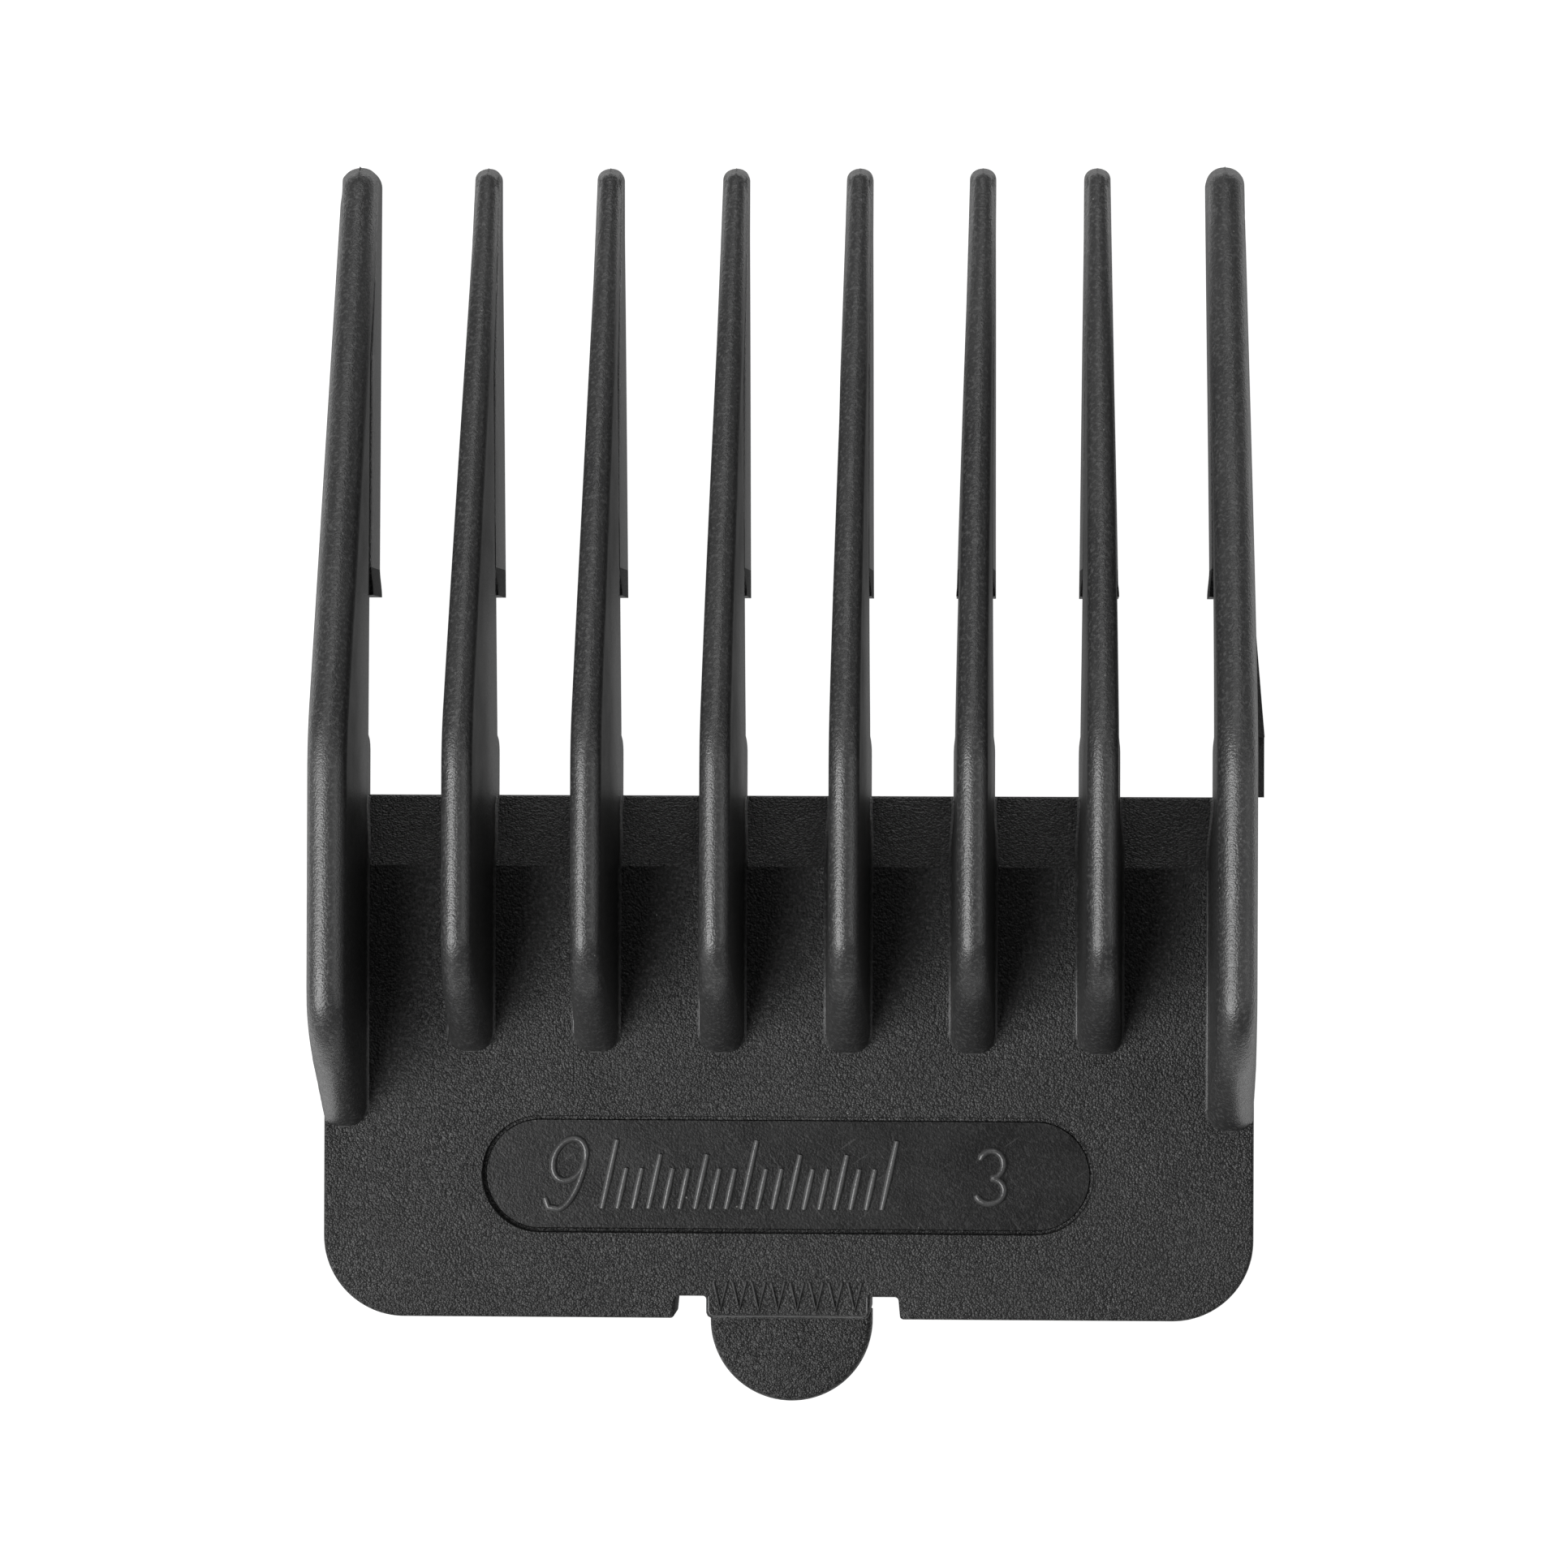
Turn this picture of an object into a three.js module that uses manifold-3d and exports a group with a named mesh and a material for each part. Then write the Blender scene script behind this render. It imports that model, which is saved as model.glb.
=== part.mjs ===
// Clip-on guide comb for a hair clipper, 9 mm cut, with eight rails and a thumb-release latch.
// Millimetres. +X is across the comb, +Y points to the rail tips, +Z points away from the blade,
// towards the scalp. The comb stands on the undersides of its rail noses and side skirts at z = 0.
import * as THREE from 'three';
import { mergeVertices } from 'three/addons/utils/BufferGeometryUtils.js';
import Module from 'manifold-3d';

const wasm = await Module();
wasm.setup();

// Overall
const BODY_WIDTH = 46;
const TIP_Y = 31;
const PAD_END_Y = -31;
const RAIL_TOP_Z = 16;

// Deck plate and its front lip
const DECK_TOP_Z = 7.5;
const DECK_UNDER_Z = 6.3;
const DECK_REAR_Y = -26.6;
const DECK_FRONT_Y = -4.25;
const DECK_CORNER_RADIUS = 4;
const LIP_FRONT_Y = -0.75;
const LIP_TOP_Z = 4.6;
const SEAT_Z = 3.6;

// Recessed label panel
const LABEL_Y = -19.5;
const LABEL_HALF_LENGTH = 15.1;
const LABEL_HALF_HEIGHT = 2.85;
const LABEL_DEPTH = 0.3;

// Walls under the deck
const SKIRT_THICKNESS = 1.2;
const REAR_WALL_THICKNESS = 1.1;
const RIB_WIDTH = 1.3;
const RIB_FRONT_Y = -1.25;
const RIB_REAR_Y = -13.5;

// Side guides, which flare outwards in front of the lip
const GUIDE_THICKNESS = 1.3;
const GUIDE_FLARE = 0.6;
const GUIDE_FRONT_Z = 2.5;
const GUIDE_LOW_Y = 0.75;

// Rails: a round bead on top of a fin, with a wedge-shaped nose that hooks over the blade's edge
const RAIL_PITCH = 6.2;
const OUTER_RAIL_X = 21.9;
const HOOK_Y = 9.25;
const HOOK_Z = 4.1;
const STEP_Y = 2.25;
const PEAK_Y = 2.2;
const PEAK_ROUNDING = 3;
const HEEL_ROUNDING = 2.2;
const BEAD_STEPS = 28;
const BEAD_CURVE_SEGMENTS = 6;
const INNER_RAIL = { beadRadius: 0.75, neck: 1.3, foot: 2.0, heelY: -9.0, rootY: -13.1 };
const OUTER_RAIL = { beadRadius: 1.0, neck: 1.8, foot: 2.2, heelY: -12.1, rootY: -16.6 };

// Release latch
const LATCH_HALF_WIDTH = 4.1;
const NOTCH_OUTER_X = 5.5;
const LATCH_BOTTOM_Z = 0.3;
const LATCH_TOP_Z = 5.7;
const HINGE_WEB_Z = 5.8;
const HINGE_WEB_THICKNESS = 0.5;
const PAD_RADIUS = 4.05;
const PAD_TOP_Z = 4.3;
const PAD_UNDER_Z = 3.1;
const CATCH_LEDGE_Z = 1.5;
const CATCH_REACH = 1;
const CATCH_HALF_WIDTH = 3.2;

const HALF_WIDTH = BODY_WIDTH / 2;
const REAR_WALL_INNER_Y = DECK_REAR_Y + REAR_WALL_THICKNESS;
const CORNER_X = HALF_WIDTH - DECK_CORNER_RADIUS;
const CORNER_Y = DECK_REAR_Y + DECK_CORNER_RADIUS;

const GRAINED = { color: 0x2b2b2c, roughness: 0.55 };
const SATIN = { color: 0x303031, roughness: 0.45 };

const comb = new THREE.Group();

function plastic(look) {
  return new THREE.MeshStandardMaterial({ ...look, metalness: 0 });
}

function addPiece(name, geometry, look = GRAINED) {
  const mesh = new THREE.Mesh(geometry, plastic(look));
  mesh.name = name;
  comb.add(mesh);
  return mesh;
}

function toSolid(geometry) {
  const bare = geometry.clone();
  bare.deleteAttribute('normal');
  bare.deleteAttribute('uv');
  const merged = mergeVertices(bare, 1e-5);
  const vertProperties = new Float32Array(merged.attributes.position.array);
  const triVerts = new Uint32Array(merged.index.array);
  return new wasm.Manifold(new wasm.Mesh({ numProp: 3, vertProperties, triVerts }));
}

function toGeometry(solid) {
  const mesh = solid.getMesh();
  const geometry = new THREE.BufferGeometry();
  geometry.setAttribute('position', new THREE.BufferAttribute(mesh.vertProperties, 3));
  geometry.setIndex(new THREE.BufferAttribute(mesh.triVerts, 1));
  geometry.computeVertexNormals();
  return geometry;
}

function outline(points) {
  return new THREE.Shape(points.map(([a, b]) => new THREE.Vector2(a, b)));
}

// A prism of a side-view outline, given as (y, z) points, from one x to another.
function prismAlongX(points, fromX, toX) {
  const geometry = new THREE.ExtrudeGeometry(outline(points), {
    depth: toX - fromX,
    bevelEnabled: false,
  });
  const turn = new THREE.Matrix4().makeBasis(
    new THREE.Vector3(0, 1, 0),
    new THREE.Vector3(0, 0, 1),
    new THREE.Vector3(1, 0, 0),
  );
  return geometry.applyMatrix4(turn).translate(fromX, 0, 0);
}

// A prism of a plan-view shape between two heights.
function prismAlongZ(shape, fromZ, toZ, curveSegments = 10) {
  const geometry = new THREE.ExtrudeGeometry(shape, {
    depth: toZ - fromZ,
    bevelEnabled: false,
    curveSegments,
  });
  return geometry.translate(0, 0, fromZ);
}

// Moves every vertex sideways: newX is a function of the vertex's own x, y and z.
function reshapeX(geometry, newX) {
  const position = geometry.attributes.position;
  for (let i = 0; i < position.count; i += 1) {
    position.setX(i, newX(position.getX(i), position.getY(i), position.getZ(i)));
  }
  return geometry;
}

// Deck: a flat plate with two round rear corners, two notches that free the latch,
// and a shallow pill-shaped panel for the cut-length mark.
function deckShape() {
  const shape = new THREE.Shape();
  shape.moveTo(-HALF_WIDTH, DECK_FRONT_Y);
  shape.lineTo(-HALF_WIDTH, CORNER_Y);
  shape.absarc(-CORNER_X, CORNER_Y, DECK_CORNER_RADIUS, Math.PI, Math.PI * 1.5, false);
  const notches = [[-NOTCH_OUTER_X, -LATCH_HALF_WIDTH], [LATCH_HALF_WIDTH, NOTCH_OUTER_X]];
  for (const [fromX, toX] of notches) {
    shape.lineTo(fromX, DECK_REAR_Y);
    shape.lineTo(fromX, REAR_WALL_INNER_Y);
    shape.lineTo(toX, REAR_WALL_INNER_Y);
    shape.lineTo(toX, DECK_REAR_Y);
  }
  shape.absarc(CORNER_X, CORNER_Y, DECK_CORNER_RADIUS, Math.PI * 1.5, Math.PI * 2, false);
  shape.lineTo(HALF_WIDTH, DECK_FRONT_Y);
  return shape;
}

function labelShape() {
  const endX = LABEL_HALF_LENGTH - LABEL_HALF_HEIGHT;
  const shape = new THREE.Shape();
  shape.absarc(endX, LABEL_Y, LABEL_HALF_HEIGHT, -Math.PI / 2, Math.PI / 2, false);
  shape.absarc(-endX, LABEL_Y, LABEL_HALF_HEIGHT, Math.PI / 2, Math.PI * 1.5, false);
  return shape;
}

function combPlate() {
  const deck = toSolid(prismAlongZ(deckShape(), DECK_UNDER_Z, DECK_TOP_Z));
  const panel = toSolid(prismAlongZ(labelShape(), DECK_TOP_Z - LABEL_DEPTH, DECK_TOP_Z + 1, 12));
  return toGeometry(deck.subtract(panel));
}

// Lip: the deck's front strip, which slopes down to the blade seat.
function frontLip() {
  const section = [
    [DECK_FRONT_Y, DECK_UNDER_Z],
    [LIP_FRONT_Y, SEAT_Z],
    [LIP_FRONT_Y, LIP_TOP_Z],
    [DECK_FRONT_Y, DECK_TOP_Z],
  ];
  return prismAlongX(section, -HALF_WIDTH, HALF_WIDTH);
}

// The middle line of a rail's bead, in the plane x = 0, from the tip to inside the deck.
function beadPath(rail) {
  const highZ = RAIL_TOP_Z - rail.beadRadius;
  const tip = new THREE.Vector3(0, TIP_Y - rail.beadRadius, rail.beadRadius);
  const peak = new THREE.Vector3(0, PEAK_Y, highZ);
  const heel = new THREE.Vector3(0, rail.heelY + rail.beadRadius / 2, highZ);
  const root = new THREE.Vector3(0, rail.rootY + rail.beadRadius, DECK_TOP_Z - rail.beadRadius);
  const toward = (from, to, distance) =>
    from.clone().add(to.clone().sub(from).normalize().multiplyScalar(distance));
  const beforePeak = toward(peak, tip, PEAK_ROUNDING / 2);
  const afterPeak = toward(peak, heel, PEAK_ROUNDING / 2);
  const beforeHeel = toward(heel, peak, HEEL_ROUNDING);
  const afterHeel = toward(heel, root, HEEL_ROUNDING);
  const path = new THREE.CurvePath();
  path.add(new THREE.LineCurve3(tip, beforePeak));
  path.add(new THREE.QuadraticBezierCurve3(beforePeak, peak, afterPeak));
  path.add(new THREE.LineCurve3(afterPeak, beforeHeel));
  path.add(new THREE.QuadraticBezierCurve3(beforeHeel, heel, afterHeel));
  path.add(new THREE.LineCurve3(afterHeel, root));
  return path;
}

// Height of the bead's middle line above a given y, for the draft of the fin below it.
function beadHeight(rail, y) {
  const highZ = RAIL_TOP_Z - rail.beadRadius;
  const slope = (highZ - rail.beadRadius) / (TIP_Y - rail.beadRadius - PEAK_Y);
  return y > PEAK_Y ? highZ - (y - PEAK_Y) * slope : highZ;
}

// Fin: the web under the bead. It thickens from the neck below the bead to its foot.
function railFin(rail) {
  const highZ = RAIL_TOP_Z - rail.beadRadius;
  const side = [
    [TIP_Y - rail.beadRadius, 0],
    [TIP_Y - rail.beadRadius, rail.beadRadius],
    [PEAK_Y, highZ],
    [rail.heelY + rail.beadRadius, highZ],
    [rail.rootY, DECK_TOP_Z],
    [DECK_FRONT_Y, DECK_TOP_Z],
    [LIP_FRONT_Y, LIP_TOP_Z],
    [LIP_FRONT_Y, SEAT_Z],
    [STEP_Y, SEAT_Z],
    [STEP_Y, HOOK_Z],
    [HOOK_Y, HOOK_Z],
    [HOOK_Y, 0],
  ];
  const fullDepth = RAIL_TOP_Z - DECK_TOP_Z;
  const drafted = (x, y, z) => {
    const depth = Math.min(Math.max(beadHeight(rail, y) - z, 0) / fullDepth, 1);
    return (Math.sign(x) * (rail.neck + (rail.foot - rail.neck) * depth)) / 2;
  };
  return reshapeX(prismAlongX(side, -1, 1), drafted);
}

function railGeometry(rail, centreX) {
  const section = new THREE.Shape();
  section.absarc(0, 0, rail.beadRadius, 0, Math.PI * 2, false);
  const bead = toSolid(new THREE.ExtrudeGeometry(section, {
    extrudePath: beadPath(rail),
    steps: BEAD_STEPS,
    curveSegments: BEAD_CURVE_SEGMENTS,
    bevelEnabled: false,
  }));
  const tipBall = new THREE.SphereGeometry(rail.beadRadius, 2 * BEAD_CURVE_SEGMENTS, BEAD_CURVE_SEGMENTS);
  tipBall.translate(0, TIP_Y - rail.beadRadius, rail.beadRadius);
  const belowDeck = new THREE.BoxGeometry(8, 20, DECK_TOP_Z);
  belowDeck.translate(0, rail.rootY, DECK_TOP_Z / 2);
  const roundTop = bead.add(toSolid(tipBall)).subtract(toSolid(belowDeck));
  return toGeometry(roundTop.add(toSolid(railFin(rail)))).translate(centreX, 0, 0);
}

// Ribs under the deck, one below each inner rail. Their undersides are the blade seat.
function seatRib(centreX) {
  const lipSlope = (SEAT_Z - DECK_UNDER_Z) / (LIP_FRONT_Y - DECK_FRONT_Y);
  const section = [
    [RIB_REAR_Y, SEAT_Z],
    [RIB_FRONT_Y, SEAT_Z],
    [RIB_FRONT_Y, DECK_UNDER_Z + (RIB_FRONT_Y - DECK_FRONT_Y) * lipSlope],
    [DECK_FRONT_Y, DECK_UNDER_Z],
    [RIB_REAR_Y, DECK_UNDER_Z],
  ];
  return prismAlongX(section, centreX - RIB_WIDTH / 2, centreX + RIB_WIDTH / 2);
}

// Side skirt: the straight wall under one edge of the deck, beside the blade.
function sideSkirt(side) {
  const section = [
    [CORNER_Y, 0],
    [LIP_FRONT_Y, 0],
    [LIP_FRONT_Y, SEAT_Z],
    [DECK_FRONT_Y, DECK_UNDER_Z],
    [CORNER_Y, DECK_UNDER_Z],
  ];
  const outerX = side * HALF_WIDTH;
  const innerX = side * (HALF_WIDTH - SKIRT_THICKNESS);
  return prismAlongX(section, Math.min(innerX, outerX), Math.max(innerX, outerX));
}

// Side guide: the thin ear below an outer rail that leads the blade in.
function sideGuide(side) {
  const section = [
    [LIP_FRONT_Y, 0],
    [GUIDE_LOW_Y, 0],
    [HOOK_Y, GUIDE_FRONT_Z],
    [HOOK_Y, HOOK_Z],
    [STEP_Y, HOOK_Z],
    [STEP_Y, SEAT_Z],
    [LIP_FRONT_Y, SEAT_Z],
  ];
  const flared = (x, y) => {
    const share = Math.min((HOOK_Y - y) / (HOOK_Y - STEP_Y), 1);
    const outerX = HALF_WIDTH + GUIDE_FLARE * share;
    return x * side > 0 ? side * outerX : side * (outerX - GUIDE_THICKNESS);
  };
  return reshapeX(prismAlongX(section, -1, 1), flared);
}

// Rear wall: it closes the back of the deck from a notch round the corner to the skirt.
function rearWall(side) {
  const innerRadius = DECK_CORNER_RADIUS - REAR_WALL_THICKNESS;
  const shape = new THREE.Shape();
  shape.moveTo(NOTCH_OUTER_X, DECK_REAR_Y);
  shape.absarc(CORNER_X, CORNER_Y, DECK_CORNER_RADIUS, -Math.PI / 2, 0, false);
  shape.absarc(CORNER_X, CORNER_Y, innerRadius, 0, -Math.PI / 2, true);
  shape.lineTo(NOTCH_OUTER_X, REAR_WALL_INNER_Y);
  const geometry = prismAlongZ(shape, SEAT_Z, DECK_UNDER_Z, 8);
  return side > 0 ? geometry : toGeometry(toSolid(geometry).mirror([1, 0, 0]));
}

// Latch: a spring wall between the notches, with a thumb pad outside and a catch inside.
function latchWall() {
  const chamfer = 0.2;
  const section = [
    [DECK_REAR_Y, LATCH_BOTTOM_Z],
    [REAR_WALL_INNER_Y, LATCH_BOTTOM_Z],
    [REAR_WALL_INNER_Y, LATCH_TOP_Z - chamfer],
    [REAR_WALL_INNER_Y - chamfer, LATCH_TOP_Z],
    [DECK_REAR_Y + chamfer, LATCH_TOP_Z],
    [DECK_REAR_Y, LATCH_TOP_Z - chamfer],
  ];
  return prismAlongX(section, -LATCH_HALF_WIDTH, LATCH_HALF_WIDTH);
}

function thumbPad() {
  const shape = new THREE.Shape();
  shape.moveTo(-PAD_RADIUS, DECK_REAR_Y);
  shape.absarc(0, PAD_END_Y + PAD_RADIUS, PAD_RADIUS, Math.PI, Math.PI * 2, false);
  shape.lineTo(PAD_RADIUS, DECK_REAR_Y);
  return prismAlongZ(shape, PAD_UNDER_Z, PAD_TOP_Z, 24);
}

function catchHook() {
  const nose = 0.3;
  const section = [
    [REAR_WALL_INNER_Y, LATCH_BOTTOM_Z],
    [REAR_WALL_INNER_Y + CATCH_REACH, CATCH_LEDGE_Z - nose],
    [REAR_WALL_INNER_Y + CATCH_REACH, CATCH_LEDGE_Z],
    [REAR_WALL_INNER_Y, CATCH_LEDGE_Z],
  ];
  return prismAlongX(section, -CATCH_HALF_WIDTH, CATCH_HALF_WIDTH);
}

// Thin flexible web that the latch swings on.
function livingHinge() {
  const height = DECK_UNDER_Z - HINGE_WEB_Z;
  const web = new THREE.BoxGeometry(2 * LATCH_HALF_WIDTH, HINGE_WEB_THICKNESS, height);
  const middleY = (DECK_REAR_Y + REAR_WALL_INNER_Y) / 2;
  return web.translate(0, middleY, HINGE_WEB_Z + height / 2);
}

addPiece('comb_plate', combPlate());
addPiece('front_lip', frontLip());
addPiece('outer_rail_left', railGeometry(OUTER_RAIL, -OUTER_RAIL_X), SATIN);
addPiece('outer_rail_right', railGeometry(OUTER_RAIL, OUTER_RAIL_X), SATIN);
for (let index = 0; index < 6; index += 1) {
  const centreX = (index - 2.5) * RAIL_PITCH;
  addPiece(`rail_${index + 1}`, railGeometry(INNER_RAIL, centreX), SATIN);
  addPiece(`seat_rib_${index + 1}`, seatRib(centreX));
}
for (const [word, side] of [['left', -1], ['right', 1]]) {
  addPiece(`side_skirt_${word}`, sideSkirt(side));
  addPiece(`side_guide_${word}`, sideGuide(side), SATIN);
  addPiece(`rear_wall_${word}`, rearWall(side));
}
addPiece('living_hinge', livingHinge(), SATIN);
addPiece('latch_wall', latchWall());
addPiece('thumb_pad', thumbPad());
addPiece('catch_hook', catchHook(), SATIN);

export default comb;
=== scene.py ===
"""A clip-on guide comb for a hair clipper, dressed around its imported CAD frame.

The rails, the deck with its walls, the latch and the raised marks are fine meshes that stand for the
plain CAD solids. Shapes are worked out in millimetres and stored in metres, +Z up, rails on top.
"""

import math

import bmesh
import bpy
from mathutils import Matrix, Vector


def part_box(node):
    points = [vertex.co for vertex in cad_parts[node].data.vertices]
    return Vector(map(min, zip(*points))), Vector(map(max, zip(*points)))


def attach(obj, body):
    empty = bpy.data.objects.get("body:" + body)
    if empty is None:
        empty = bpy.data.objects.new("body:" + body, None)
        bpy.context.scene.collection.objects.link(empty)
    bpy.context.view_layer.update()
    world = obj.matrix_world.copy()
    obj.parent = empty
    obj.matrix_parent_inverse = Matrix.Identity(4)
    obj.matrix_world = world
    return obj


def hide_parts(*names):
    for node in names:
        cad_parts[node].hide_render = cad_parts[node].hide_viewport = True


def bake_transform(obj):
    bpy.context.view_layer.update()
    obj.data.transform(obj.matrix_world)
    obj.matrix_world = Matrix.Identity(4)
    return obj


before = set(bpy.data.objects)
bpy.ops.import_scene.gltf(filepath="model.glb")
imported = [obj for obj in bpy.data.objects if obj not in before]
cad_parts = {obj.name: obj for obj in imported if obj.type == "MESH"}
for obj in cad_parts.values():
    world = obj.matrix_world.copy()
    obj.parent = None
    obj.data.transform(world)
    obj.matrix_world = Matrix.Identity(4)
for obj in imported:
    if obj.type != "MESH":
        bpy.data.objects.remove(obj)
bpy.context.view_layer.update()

MM = 0.001

# ---------------------------------------------------------------- sizes read from the frame


def box_mm(node):
    """Lowest and highest corner of a CAD node, in millimetres."""
    low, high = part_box(node)
    return [c / MM for c in low], [c / MM for c in high]


DECK_LOW, DECK_HIGH = box_mm("comb_plate")
LIP_LOW, LIP_HIGH = box_mm("front_lip")
RAIL_LOW, RAIL_HIGH = box_mm("rail_1")
OUTER_LOW, OUTER_HIGH = box_mm("outer_rail_left")
SKIRT_LOW = box_mm("side_skirt_right")[0]
WALL_LOW = box_mm("rear_wall_right")[0]
LATCH_LOW, LATCH_HIGH = box_mm("latch_wall")
PAD_LOW, PAD_HIGH = box_mm("thumb_pad")
GUIDE_HIGH = box_mm("side_guide_right")[1]

HALF_WIDTH = DECK_HIGH[0]
DECK_TOP = DECK_HIGH[2]
DECK_UNDER = DECK_LOW[2]
DECK_REAR = DECK_LOW[1]
DECK_FRONT = DECK_HIGH[1]
LIP_FRONT = LIP_HIGH[1]
SEAT_Z = LIP_LOW[2]
HOOK_Y = GUIDE_HIGH[1]
HOOK_Z = GUIDE_HIGH[2]
REAR_INNER = LATCH_HIGH[1]
NOTCH_OUTER = WALL_LOW[0]
LATCH_HALF = LATCH_HIGH[0]

# Sizes that the frame's boxes don't show: the lip's front edge, the step under each rail where the
# blade starts, the deck's corners, and how far below a surface a rail's foot is buried.
LIP_TOP = 4.6
STEP_Y = 2.25
CORNER_RADIUS = 4.0
BURIED = 0.06

INNER_RAILS = [f"rail_{number}" for number in range(1, 7)]
OUTER_RAILS = ["outer_rail_left", "outer_rail_right"]
# A moulding this thin never cools quite straight: the rails stand a little off their nominal
# places, and each leans a little to one side from its peak to its tip.
RAIL_SPREAD = 1.0045
RAIL_OFFSET = {"inner": -0.14, "5": -0.2, "6": -0.18, "left": -0.02, "right": -0.13}
TIP_LEAN = {
    "rail_1": 0.11, "rail_2": 0.09, "rail_3": 0.22, "rail_4": 0.25, "rail_5": 0.29, "rail_6": -0.16,
    "outer_rail_left": -0.02, "outer_rail_right": -0.23,
}
# The lean grows along an S curve that ends past the tip. The gain makes up for the part cut off.
LEAN_PAST_TIP = 8
LEAN_GAIN = 1.25


# ---------------------------------------------------------------- small helpers


def clamp(value):
    """The value, held between 0 and 1."""
    return min(max(value, 0.0), 1.0)


def smooth_step(low, high, value):
    """0 below low, 1 above high, an S curve between."""
    t = clamp((value - low) / (high - low))
    return t * t * (3 - 2 * t)


def soft_min(a, b, blend):
    """The smaller of two values, with the corner between them rounded."""
    h = max(blend - abs(a - b), 0.0) / max(blend, 1e-6)
    return min(a, b) - h * h * blend / 4


def lerp(a, b, t):
    """The value a share t of the way from a to b."""
    return a + (b - a) * t


def root_above_zero(value):
    """The square root, or 0 where rounding has taken the value below 0."""
    return math.sqrt(max(value, 0.0))


MERGE_DISTANCE = 0.002 * MM


def mesh_object(name, vertices_mm, faces):
    """A mesh object from points in millimetres, with doubled points merged and faces pointing out."""
    mesh = bpy.data.meshes.new(name)
    mesh.from_pydata([Vector(v) * MM for v in vertices_mm], [], faces)
    obj = bpy.data.objects.new(name, mesh)
    bpy.context.scene.collection.objects.link(obj)
    bm = bmesh.new()
    bm.from_mesh(mesh)
    bmesh.ops.remove_doubles(bm, verts=bm.verts, dist=MERGE_DISTANCE)
    bmesh.ops.dissolve_degenerate(bm, edges=bm.edges, dist=MERGE_DISTANCE / 2)
    bmesh.ops.recalc_face_normals(bm, faces=bm.faces)
    bm.to_mesh(mesh)
    bm.free()
    return obj


def loft(name, loops):
    """A closed skin through loops of points in millimetres, all with the same number of points."""
    count = len(loops[0])
    points = [point for loop in loops for point in loop]
    faces = []
    for level in range(len(loops) - 1):
        for k in range(count):
            after = (k + 1) % count
            a, b = level * count, (level + 1) * count
            faces.append((a + k, a + after, b + after, b + k))
    last = (len(loops) - 1) * count
    faces.append(tuple(reversed(range(count))))
    faces.append(tuple(range(last, last + count)))
    return mesh_object(name, points, faces)


def prism(name, outline, axis, low, high):
    """A prism in millimetres: the outline is (x, y) points for axis z, and (y, z) points for axis x."""
    if axis == "z":
        loops = [[(a, b, level) for a, b in outline] for level in (low, high)]
    else:
        loops = [[(level, a, b) for a, b in outline] for level in (low, high)]
    return loft(name, loops)


def block(name, low, high):
    """A box between two corners, in millimetres, to cut with."""
    corners = [(low[0], low[1]), (high[0], low[1]), (high[0], high[1]), (low[0], high[1])]
    return prism(name, corners, "z", low[2], high[2])


def arc(centre, radius, from_deg, to_deg, steps):
    """Points along an arc in plan, both ends included."""
    angles = [math.radians(lerp(from_deg, to_deg, k / steps)) for k in range(steps + 1)]
    return [(centre[0] + radius * math.cos(a), centre[1] + radius * math.sin(a)) for a in angles]


def bake_modifiers(obj):
    """The object's mesh becomes what its modifiers make of it."""
    bpy.context.view_layer.update()
    shape = obj.evaluated_get(bpy.context.evaluated_depsgraph_get())
    mesh = bpy.data.meshes.new_from_object(shape)
    obj.modifiers.clear()
    obj.data = mesh


def cut(target, tool):
    """Cuts the tool out of the target, and throws the tool away."""
    modifier = target.modifiers.new("cut", "BOOLEAN")
    modifier.object = tool
    modifier.operation = "DIFFERENCE"
    modifier.solver = "EXACT"
    bake_modifiers(target)
    bpy.data.objects.remove(tool)


def dissolve_flat(obj):
    """Joins the faces that lie in one plane."""
    bm = bmesh.new()
    bm.from_mesh(obj.data)
    bmesh.ops.remove_doubles(bm, verts=bm.verts, dist=MERGE_DISTANCE)
    bmesh.ops.dissolve_limit(
        bm, angle_limit=math.radians(0.4), use_dissolve_boundaries=False,
        verts=bm.verts, edges=bm.edges, delimit=set(),
    )
    bm.to_mesh(obj.data)
    bm.free()


def bevel_edges(obj, width_mm, segments, angle_deg):
    """Rounds the edges sharper than the angle, as a mould does."""
    modifier = obj.modifiers.new("bevel", "BEVEL")
    modifier.width = width_mm * MM
    modifier.segments = segments
    modifier.limit_method = "ANGLE"
    modifier.angle_limit = math.radians(angle_deg)
    modifier.use_clamp_overlap = False
    modifier.miter_outer = "MITER_ARC"


def weight_normals(obj):
    """Flat faces keep their own normals beside rounded edges."""
    modifier = obj.modifiers.new("normals", "WEIGHTED_NORMAL")
    modifier.keep_sharp = True
    modifier.weight = 80


def smooth_shaded(obj, angle_deg):
    """Smooth shading, with edges sharper than the angle kept crisp."""
    obj.data.shade_smooth()
    obj.data.set_sharp_from_angle(angle=math.radians(angle_deg))
    return obj


# ---------------------------------------------------------------- rails


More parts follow.
